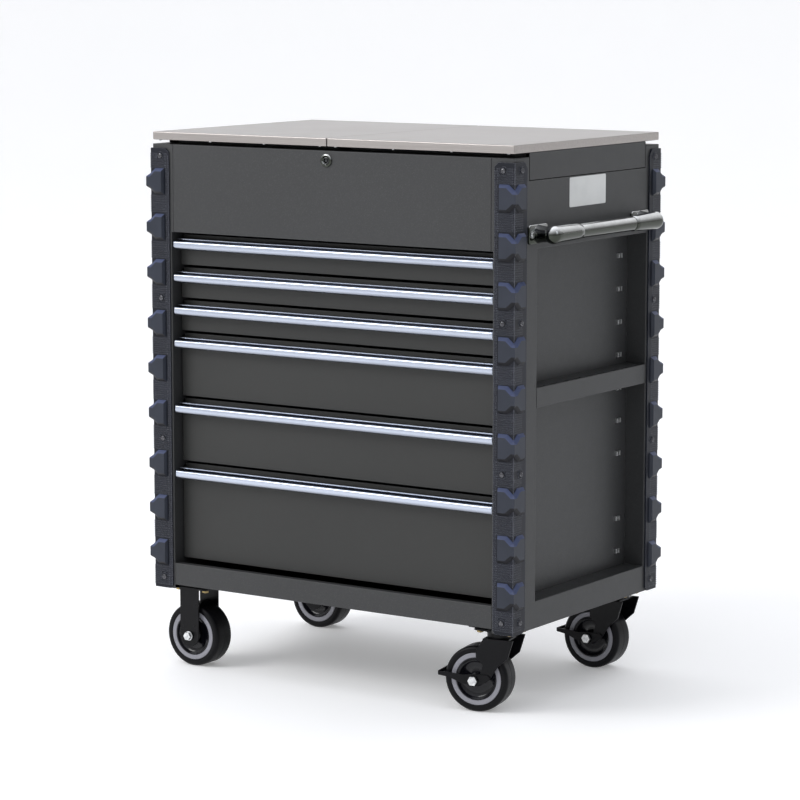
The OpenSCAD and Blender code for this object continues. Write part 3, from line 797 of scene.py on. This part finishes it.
def add_ribs(stock, front, flank):
    """Ticks by the far edge, ribs on the open stretches, and pips down the corner."""
    low, high = guard_low.z, guard_high.z
    root = THIN - 0.3
    for row in range(int((high - low - 14) / RIB_PITCH)):
        z = low + 8 + row * RIB_PITCH
        top_cut = max(0.0, z - (high - CUT - 8))
        tick_end = GUARD_LEG - 0.6 - top_cut
        tapered_bar(stock, front, 34.0, tick_end, root, GUARD_PLATE - 0.1, z, 1.5, 0.55)
        if near_lug(z):
            continue
        if min(abs(z - screw) for screw in SCREW_Z) < 8.2:
            tapered_bar(stock, front, 1.0, SCREW_IN - SCREW_CLEAR, root, GUARD_PLATE, z, 1.5, 0.5)
            tapered_bar(stock, front, SCREW_IN + SCREW_CLEAR, RIB_END, root, GUARD_PLATE, z, 1.5, 0.5)
        else:
            rib_end = RIB_END - top_cut * 0.3
            tapered_bar(stock, front, 1.0, rib_end, root, GUARD_PLATE, z, 1.5, 0.5)
            tapered_bar(stock, flank, 2.0, 26.0, GUARD_PLATE - 0.9, GUARD_PLATE - 0.25, z, 1.3, 0.5)
        tapered_bar(stock, front, -3.7, -1.0, THIN - 0.5, GUARD_PLATE + 0.1, z, 1.4, 0.7)
        tapered_bar(stock, flank, -3.2, -0.8, GUARD_PLATE - 1.0, GUARD_PLATE + 0.05, z, 1.4, 0.7)


def lugs_drawing(front, flank):
    """Nine lugs: one arm on each leg, both mitred at the corner."""
    lugs = Stock()
    for z in LUG_Z:
        for leg in (front, flank):
            rings = []
            for w, out, inset in (
                (1.0, LUG_OUT - 1.0, 0.0), (4.0, LUG_OUT - 4.0, 0.0),
                (9.3, 0.7, LUG_SLOPE - 0.5), (10.0, 0.0, LUG_SLOPE + 0.6),
            ):
                rings.append([leg(u - LUG_OUT, w, z + h) for u, h in lug_ring(out, inset)])
            lugs.loft(rings)
    return lugs


# %% [markdown]
# Each screw goes through a raised rim, turned like a washer. The four guards differ only in the
# two signs that place their legs.

# %% Four guards
def add_rims(stock, front, flank, side, end):
    rim = [(5.6, 2.0), (8.0, 2.0), (8.0, 4.0), (7.4, 4.6), (6.3, 4.6), (5.6, 4.0)]
    for z in SCREW_Z:
        stock.revolve(rim, 32, facing("y" if end > 0 else "-y", front(SCREW_IN, 0, z)))
        stock.revolve(rim, 32, facing("x" if side > 0 else "-x", flank(SCREW_IN, 0, z)))


for end_name, end in (("front", -1), ("rear", 1)):
    for side_name, side in (("left", -1), ("right", 1)):
        part = f"corner_guard_{end_name}_{side_name}"
        front, flank = guard_legs(side, end)
        plates = Stock()
        add_plates(plates, front, flank)
        add_ribs(plates, front, flank)
        add_rims(plates, front, flank, side, end)
        body = BODY_OF[part]
        guard = make(part + "_piece", plates, GUARD_PLASTIC, body, [part], crease=25)
        lugs = lugs_drawing(front, flank)
        make(part + "_lugs", lugs, LUG_PLASTIC, body, [part], crease=25)
        print(guard.name, "has", len(guard.data.polygons), "faces")

# %% [markdown]
# The guard screws sit in those rims. A cross-recess head is a low dome with two crossed slots.
# Four small raised quarters on the dome leave the slots between them, which fall into shade.

# %% Screws with a cross recess
def screw_head(stock, place):
    dome = [(0.01, 0.2), (5.2, 0.2), (5.2, 1.2), (4.7, 2.0), (3.6, 2.5), (2.6, 2.65), (0.01, 2.65)]
    stock.revolve(dome, 24, place)
    for turn in range(4):
        quarter = place @ Matrix.Rotation(math.radians(90 * turn + 20), 4, "Z")
        stock.loft([
            [(0.7, 0.7, 2.3), (3.1, 0.7, 2.3), (2.2, 2.2, 2.3), (0.7, 3.1, 2.3)],
            [(0.8, 0.8, 3.2), (2.5, 0.8, 3.1), (1.9, 1.9, 3.1), (0.8, 2.5, 3.1)],
        ], quarter)


screws = Stock()
for side in (-1, 1):
    for end in (-1, 1):
        for z in SCREW_Z:
            x = MIDDLE_X + side * HALF_W
            y = end * HALF_D
            place = facing("y" if end > 0 else "-y", (x - side * SCREW_IN, y + end * GUARD_PLATE, z))
            screw_head(screws, place)
            place = facing("x" if side > 0 else "-x", (x + side * GUARD_PLATE, y - end * SCREW_IN, z))
            screw_head(screws, place)
make("guard_screw_heads", screws, SCREW_BLACK, "cabinet", ["guard_screws"])
print(8 * len(SCREW_Z), "screws")

# %% [markdown]
# A drawer pull is one aluminium extrusion along the whole top of the drawer front: a rear wall
# with a thin lip, a groove for the fingers and a round nose. The same section is repeated at a
# few places along its length, and near the ends the nose draws back, which rounds its corners.

# %% The section of a pull
NOSE_BACK = 3.5
NOSE_DEPTH = 12.0
PULL_HEIGHT = 21.0


def pull_section():
    """Points of the section: y behind the nose, z above the lowest point."""
    outline = arc((8.0, 8.0), 8.0, 270, 180, 7)
    outline += arc((4.0, 13.0), 4.0, 180, 45, 7)
    outline += arc((5.6, 14.4), 1.2, 40, -20, 3)
    outline += [(7.6, 11.5), (8.2, 6.5), (9.5, 5.2), (19.5, 5.2), (21.3, 6.8), (21.8, 12.0)]
    outline += [(21.8, 18.2), (21.4, 18.9), (16.4, 19.0), (16.0, 19.4), (16.0, 20.6), (16.4, 21.0)]
    outline += [(25.0, 21.0), (25.8, 20.2), (25.8, 0.6), (25.2, 0.0)]
    return outline


def pull_drawing(low, high):
    outline = pull_section()
    scale = (high.z - low.z) / PULL_HEIGHT
    stations = []
    for step in range(7):
        turn = math.radians(90 * step / 6)
        stations.append((NOSE_BACK * (1 - math.sin(turn)), NOSE_BACK * (1 - math.cos(turn))))
    rings = []
    ends = [(low.x + inset, back) for back, inset in stations]
    ends += [(high.x - inset, back) for back, inset in reversed(stations)]
    for x, back in ends:
        ring = []
        for y, z in outline:
            share = max(0.0, 1 - y / NOSE_DEPTH)
            ring.append((x, low.y + y + back * share, low.z + z * scale))
        rings.append(ring)
    return Stock().loft(rings)


for number in range(1, DRAWERS + 1):
    low, high = corners(f"drawer_pull_{number}")
    make(f"drawer_pull_{number}_piece", pull_drawing(low, high), PULL_ALUMINIUM,
         f"drawer_{number}", [f"drawer_pull_{number}"], crease=28)
print(DRAWERS, "pulls, nose at y", NOSE_Y)

# %% [markdown]
# The push handle is a chromed tube between two cast brackets. A bracket is a rounded foot plate,
# a waisted neck, a round elbow and a socket that narrows onto the tube. The neck and the socket
# are turned shapes with a curved outline, which is what makes chrome look like chrome:
# every curve bends the light of the room.

# %% Handle and brackets
bar_low, bar_high = corners("push_handle")
bracket_high = corners("handle_brackets")[1]
BAR_X = (bar_low.x + bar_high.x) / 2
BAR_Z = (bar_low.z + bar_high.z) / 2
BAR_R = (bar_high.z - bar_low.z) / 2
SIDE_X = MIDDLE_X + HALF_W

bar = Stock()
inner = BAR_R - 1.6
half_bar = (bar_high.y - bar_low.y) / 2
bar.revolve(
    [(inner, -half_bar), (BAR_R - 0.6, -half_bar), (BAR_R, -half_bar + 0.6),
     (BAR_R, half_bar - 0.6), (BAR_R - 0.6, half_bar), (inner, half_bar)],
    96, facing("y", (BAR_X, 0, BAR_Z)),
)
make("push_handle_piece", bar, CHROME, "cabinet", ["push_handle"])


def rounded_plate(half_y, half_z, radius, steps=6):
    """The outline of a plate with round corners."""
    outline = []
    for turn, (sign_y, sign_z) in enumerate(((1, 1), (-1, 1), (-1, -1), (1, -1))):
        centre = (sign_y * (half_y - radius), sign_z * (half_z - radius))
        outline += arc(centre, radius, 90 * turn, 90 * turn + 90, steps)
    return outline


FOOT_HALF_Y = 33.0
FOOT_HALF_Z = 18.0
FOOT_THICK = 4.6
BRACKET_Y = bracket_high.y - FOOT_HALF_Y
ELBOW_R = bracket_high.x - BAR_X - 0.05
SOCKET_END = BRACKET_Y - 91.0


def bracket_drawing(end):
    stock = Stock()
    foot_y = end * BRACKET_Y
    layers = [(0.0, 0.0), (3.6, 0.0), (4.5, 0.5), (5.0, 1.5)]
    rings = []
    for out, inset in layers:
        outline = rounded_plate(FOOT_HALF_Y - inset, FOOT_HALF_Z - inset, 6 - inset)
        rings.append([(SIDE_X + out, foot_y + y, BAR_Z + z) for y, z in outline])
    stock.loft(rings)
    reach = BAR_X - SIDE_X
    neck = [(0.01, 3.0)]
    for step in range(11):
        t = step / 10
        waist = 14.2 + 3.2 * (1 - t) ** 3 + 0.8 * t * t
        neck.append((waist, FOOT_THICK + t * (reach - FOOT_THICK)))
    neck.append((0.01, reach))
    stock.revolve(neck, 64, facing("x", (SIDE_X, foot_y, BAR_Z)))
    # round elbow, then a long taper down to the bar
    socket = [(0.01, BRACKET_Y + ELBOW_R)]
    for step in range(1, 13):
        turn = math.radians(90 * step / 12)
        socket.append((ELBOW_R * math.sin(turn), BRACKET_Y + ELBOW_R * math.cos(turn)))
    for step in range(1, 9):
        t = step / 8
        radius = ELBOW_R + (BAR_R + 1.1 - ELBOW_R) * t ** 0.9
        socket.append((radius, BRACKET_Y - t * (BRACKET_Y - SOCKET_END - 1.0)))
    socket += [(BAR_R + 0.5, SOCKET_END), (BAR_R + 0.1, SOCKET_END)]
    socket += [(BAR_R + 0.1, half_bar + 0.1), (0.01, half_bar + 0.1)]
    stock.revolve(socket, 96, facing("y" if end > 0 else "-y", (BAR_X, 0, BAR_Z)))
    return stock


brackets = Stock()
for end in (-1, 1):
    drawing = bracket_drawing(end)
    brackets.add(drawing.points, drawing.faces)
make(
    "handle_brackets_piece", brackets, CHROME, "cabinet", ["handle_brackets"], crease=40
)
print("handle at x", BAR_X, "z", BAR_Z)

# %% [markdown]
# A caster wheel is three mouldings: a rubber tyre, a pale ring that grips it, and a glossy black
# hub with a dish and a boss. Turned outlines give each its own edge and its own finish.

# %% Wheels
WHEEL_R = 63.5
WHEEL_HALF = 25.0


def mirrored(half):
    """A closed outline from its upper half: (radius, height) points from bore to rim."""
    return half + [(r, -h) for r, h in reversed(half)]


def wheel_drawings():
    tyre = [(50.4, 23.0), (51.0, 24.2), (53.0, WHEEL_HALF - 0.1), (56.5, WHEEL_HALF)]
    tyre += arc((56.5, 18.0), 7.0, 90, 10, 8)
    tyre += [(WHEEL_R, 15.0), (WHEEL_R, 0.6), (WHEEL_R - 0.3, 0.3)]
    ring = [(41.0, 22.0), (41.5, 23.6), (42.4, 24.0), (49.4, 24.0), (50.3, 23.4), (50.3, 21.0)]
    hub = [(5.1, 30.4), (9.6, 30.4), (11.0, 29.6), (11.8, 27.0), (12.6, 21.0), (15.0, 18.4)]
    hub += [(20.0, 17.4), (27.0, 17.2), (33.0, 18.2), (36.4, 20.4), (38.2, 22.8), (39.2, 23.8)]
    hub += [(40.2, 24.0), (40.9, 23.2), (40.9, 21.0)]
    return (("tyre", mirrored(tyre), TYRE_RUBBER), ("ring", mirrored(ring), RING_PLASTIC),
            ("hub", mirrored(hub), HUB_PLASTIC))


ROLL_AXIS = {joint["name"]: joint["axis"] for joint in frame["record"]["behaviour"]["joints"]}
for part in ("wheel_front_left", "wheel_front_right", "wheel_rear_left", "wheel_rear_right"):
    low, high = corners(part)
    centre = (low + high) / 2
    roll = ROLL_AXIS[part + "_roll"]
    turn = math.atan2(roll[0], -roll[1])
    place = Matrix.Translation(centre) @ Matrix.Rotation(turn, 4, "Z") @ facing("y", (0, 0, 0))
    for name, profile, finish in wheel_drawings():
        drawing = Stock().revolve(profile, 96, place)
        make(f"{part}_{name}", drawing, finish, BODY_OF[part], [part], crease=30)
print("four wheels of three mouldings")

# %% [markdown]
# The lock has a chromed collar with a turned rim. The barrel inside it is black, and its key is
# a tube, so the keyway is a ring round a small pin with one notch.

# %% Lock
lock_low, lock_high = corners("lock_housing")
LOCK_Z = (lock_low.z + lock_high.z) / 2
lock_place = facing("-y", (MIDDLE_X, FRONT_Y, LOCK_Z))
rim = [(9.4, 0.0), (12.6, 0.0), (12.8, 0.4), (12.8, 1.4), (12.2, 2.5), (11.0, 3.3), (9.6, 3.7)]
throat = [(8.6, 3.5), (8.0, 2.6), (7.6, 1.6), (7.05, 1.2)]
collar = Stock().revolve([(7.05, -21.0), (9.4, -21.0)] + rim + throat, 64, lock_place)
make("lock_collar", collar, CHROME, "cabinet", ["lock_housing"])
barrel = Stock()
shell = [(4.9, -23.0), (6.9, -23.0), (6.9, 1.0), (6.4, 1.9), (5.2, 2.3), (4.9, 1.9)]
barrel.revolve(shell, 48, lock_place)
pin = [(0.01, -23.0), (5.0, -23.0), (5.0, -3.0), (3.0, -3.0), (3.0, 1.2), (2.6, 1.7), (0.01, 1.7)]
barrel.revolve(pin, 48, lock_place)
barrel.block((-0.9, 3.4, -3.0), (0.9, 5.4, 1.9), lock_place)
cam_disc = [(0.01, -26.0), (9.0, -26.0), (9.0, -24.0), (0.01, -24.0)]
barrel.revolve(cam_disc, 32, lock_place)
barrel.block((-7.0, -26.0, -26.0), (7.0, 0.0, -24.0), lock_place)
make("lock_barrel_piece", barrel, LOCK_PLASTIC, "lock_barrel", ["lock_barrel"])
print("lock at z", LOCK_Z)

# %% [markdown]
# Small things give scale. The stainless skins are closed underneath by rivets, which only show
# from low down.

# %% Rivets under the work surface
for side_name, side in (("left", -1), ("right", 1)):
    rivets = Stock()
    for x in (18, 150, 280, 404):
        for end in (-1, 1):
            place = facing("-z", (MIDDLE_X + side * x, end * (HALF_D - 5.0), skin_low.z))
            dome = [(0.01, -0.8), (3.2, -0.8), (3.2, 0.2), (2.6, 1.1), (1.5, 1.6), (0.01, 1.75)]
            rivets.revolve(dome, 20, place)
    make(f"top_rivets_{side_name}", rivets, ZINC, f"top_{side_name}")
print("rivets under both halves")

# %% [markdown]
# Such chests carry a notice on the side below the work surface. It is drawn as a blank plate
# with round corners, thin enough to hug the skin and just thick enough to catch an edge of light.

# %% Blank label
LABEL_HALF_Y = 67.5
LABEL_HALF_Z = 28.0
LABEL_Y = -5.0
LABEL_Z = 977.0
label_rings = []
for out, inset in ((0.02, 0.0), (0.25, 0.0), (0.32, 0.25)):
    outline = rounded_plate(LABEL_HALF_Y - inset, LABEL_HALF_Z - inset, 3.0 - inset)
    label_rings.append([(SIDE_X + out, LABEL_Y + y, LABEL_Z + z) for y, z in outline])
make("side_label", Stock().loft(label_rings), LABEL_FOIL, "cabinet")
print("label at z", LABEL_Z)

# %% [markdown]
# The studio is a pale floor that curves up into a wall, so that no horizon shows. It is turned
# with the camera, so that the wall stands square behind the chest.

# %% Floor
def studio_finish():
    paper = Finish("studio_floor", Emission_Strength=0.2, Emission_Color=(1, 1, 1, 1))
    fibre = paper.noise(3, 4)
    base = paper.mix(fibre.clipped(0.3, 0.7), grey(0.895), grey(0.905))
    return paper.set(Base_Color=base, Roughness=0.7 + (fibre - 0.5) * 0.1)


SWEEP_BACK = 9.0
SWEEP_RADIUS = 4.0
SWEEP_HEIGHT = 12.0
SWEEP_HALF = 24.0
profile = [(-16.0, 0.0)]
profile += [(x, z + SWEEP_RADIUS) for x, z in arc((SWEEP_BACK, 0.0), SWEEP_RADIUS, -90, 0, 16)]
profile.append((SWEEP_BACK + SWEEP_RADIUS, SWEEP_HEIGHT))
floor_mesh = bpy.data.meshes.new("studio_floor")
floor_points = [(x, y, z) for x in (-SWEEP_HALF, SWEEP_HALF) for y, z in profile]
count = len(profile)
floor_faces = [[i, i + 1, i + 1 + count, i + count] for i in range(count - 1)]
floor_mesh.from_pydata(floor_points, [], floor_faces)
floor_mesh.shade_smooth()
floor = bpy.data.objects.new("studio_floor", floor_mesh)
floor_mesh.materials.append(studio_finish())
floor.rotation_euler = (0, 0, CAMERA_AZIMUTH)
bpy.context.scene.collection.objects.link(floor)
print("floor with", len(floor_faces), "strips")

# %% [markdown]
# Satin metal shows its surroundings more than its own colour, so the light is mostly a sky:
# bright overhead, grey below and dimmer on the right. One large soft light from the upper left
# models the front, and a weak one from the right draws the side's edges.

# %% Lights
def soft_light(name, place, target, size, power, colour=(1, 1, 1)):
    data = bpy.data.lights.new(name, "AREA")
    data.shape = "RECTANGLE"
    data.size, data.size_y = size
    data.energy = power
    data.color = colour
    light = bpy.data.objects.new(name, data)
    light.location = place
    aim = Vector(target) - Vector(place)
    light.rotation_mode = "QUATERNION"
    light.rotation_quaternion = aim.to_track_quat("-Z", "Y")
    bpy.context.scene.collection.objects.link(light)


soft_light("key_light", (-2.6, -3.4, 3.2), (0, 0, 0.6), (2.4, 1.8), 90)
soft_light("edge_light", (3.6, -0.4, 2.4), (0.3, 0, 0.6), (1.2, 2.0), 8, (0.86, 0.92, 1.0))
print("key light and edge light")

# %% Sky
world = bpy.data.worlds.new("studio_sky")
world.use_nodes = True
sky = NodeTree(world.node_tree)
direction = sky.node("TexCoord", output="Generated")
rightward = sky.node("SeparateXYZ", sockets={0: direction}, output="X")
skyward = sky.node("SeparateXYZ", sockets={0: direction}, output="Z")
sky_colour = sky.mix(skyward.clipped(0.0, 0.85), grey(0.62), (1.18, 1.20, 1.26, 1))
sky_strength = 1 - rightward.clipped(0.0, 0.8) * 0.5
background = world.node_tree.nodes["Background"]
sky.feed(background.inputs["Color"], sky_colour)
sky.feed(background.inputs["Strength"], sky_strength)
bpy.context.scene.world = world
bpy.context.scene.view_settings.view_transform = "Standard"
print("studio ready")

# %% [markdown]
# Last, the scene is brought up to date.

# %% Update the scene
bpy.context.view_layer.update()
